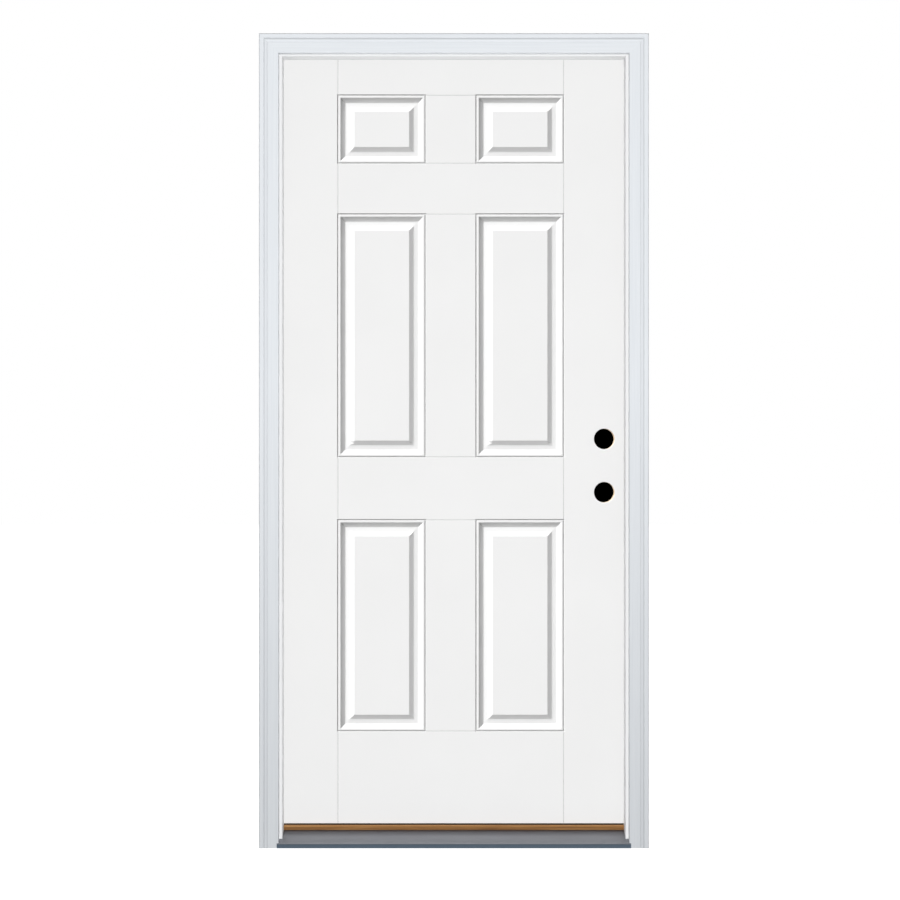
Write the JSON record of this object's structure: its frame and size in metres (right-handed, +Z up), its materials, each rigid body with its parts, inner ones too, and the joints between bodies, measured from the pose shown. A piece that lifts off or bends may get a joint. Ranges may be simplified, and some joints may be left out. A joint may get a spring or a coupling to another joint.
{
  "type": "prehung front door",
  "caption": "Raised-panel fiberglass entry door hinged in a weatherstripped frame with brickmould and an adjustable oak-capped sill; swings inward.",
  "frame": {"origin": "middle of the unit's width on the floor, under the sill, in the plane of the wall's outside face where the brickmould meets the jambs", "axes": "+X to the right as seen from outside, +Y from outside to inside, +Z up"},
  "size_m": [1.0064, 0.1664, 2.1032],
  "materials": {
    "skin": "satin",
    "slab_edge": "matte",
    "core_foam": "matte",
    "sweep_vinyl": "matte",
    "painted_frame": "satin",
    "seal_foam": "matte",
    "pad_foam": "matte",
    "sill_base": "matte",
    "sill_aluminium": "satin",
    "slate_vinyl": "satin",
    "oak": "satin",
    "hinge_steel": "satin",
    "screw_steel": "satin"
  },
  "bodies": {
    "frame": {"hinge_jamb": "painted_frame", "strike_jamb": "painted_frame", "head_jamb": "painted_frame", "brickmould_hinge_leg": "painted_frame", "brickmould_strike_leg": "painted_frame", "brickmould_head": "painted_frame", "hinge_side_seal": "seal_foam", "strike_side_seal": "seal_foam", "head_seal": "seal_foam", "hinge_corner_pad": "pad_foam", "strike_corner_pad": "pad_foam", "sill_substrate": "sill_base", "sill_deck": "sill_aluminium", "sill_nosing": "slate_vinyl", "frame_leaf_upper": "hinge_steel", "hinge_pin_upper": "hinge_steel", "frame_leaf_middle": "hinge_steel", "hinge_pin_middle": "hinge_steel", "frame_leaf_lower": "hinge_steel", "hinge_pin_lower": "hinge_steel"},
    "door": {"exterior_skin": "skin", "interior_skin": "skin", "hinge_stile": "slab_edge", "lock_stile": "slab_edge", "lock_block": "slab_edge", "top_rail": "slab_edge", "bottom_rail": "slab_edge", "foam_core": "core_foam", "door_sweep": "sweep_vinyl", "door_leaf_upper": "hinge_steel", "door_leaf_middle": "hinge_steel", "door_leaf_lower": "hinge_steel"},
    "sill_cap": {"sill_cap": "oak"},
    "adjuster_1": {"cap_adjuster_1": "screw_steel"},
    "adjuster_2": {"cap_adjuster_2": "screw_steel"},
    "adjuster_3": {"cap_adjuster_3": "screw_steel"}
  },
  "joints": [
    {"name": "door_swing", "type": "hinge", "parent": "frame", "child": "door", "pos_m": [-0.45561, 0.1286, 0], "axis": [0, 0, 1], "range_deg": [0, 170]},
    {"name": "cap_lift", "type": "slide", "parent": "frame", "child": "sill_cap", "axis": [0, 0, 1], "range_m": [-0.0035, 0]},
    {"name": "adjuster_1_turn", "type": "hinge", "parent": "frame", "child": "adjuster_1", "pos_m": [-0.3269, 0.08335, 0], "axis": [0, 0, 1], "range_deg": [-1, 721]},
    {"name": "adjuster_2_turn", "type": "hinge", "parent": "frame", "child": "adjuster_2", "pos_m": [0, 0.08335, 0], "axis": [0, 0, 1], "range_deg": [-1, 721]},
    {"name": "adjuster_3_turn", "type": "hinge", "parent": "frame", "child": "adjuster_3", "pos_m": [0.3269, 0.08335, 0], "axis": [0, 0, 1], "range_deg": [-1, 721]}
  ],
  "couplings": [
    {"joint": "adjuster_1_turn", "follows": "cap_lift", "rad_per_m": -3590.4},
    {"joint": "adjuster_2_turn", "follows": "cap_lift", "rad_per_m": -3590.4},
    {"joint": "adjuster_3_turn", "follows": "cap_lift", "rad_per_m": -3590.4}
  ]
}
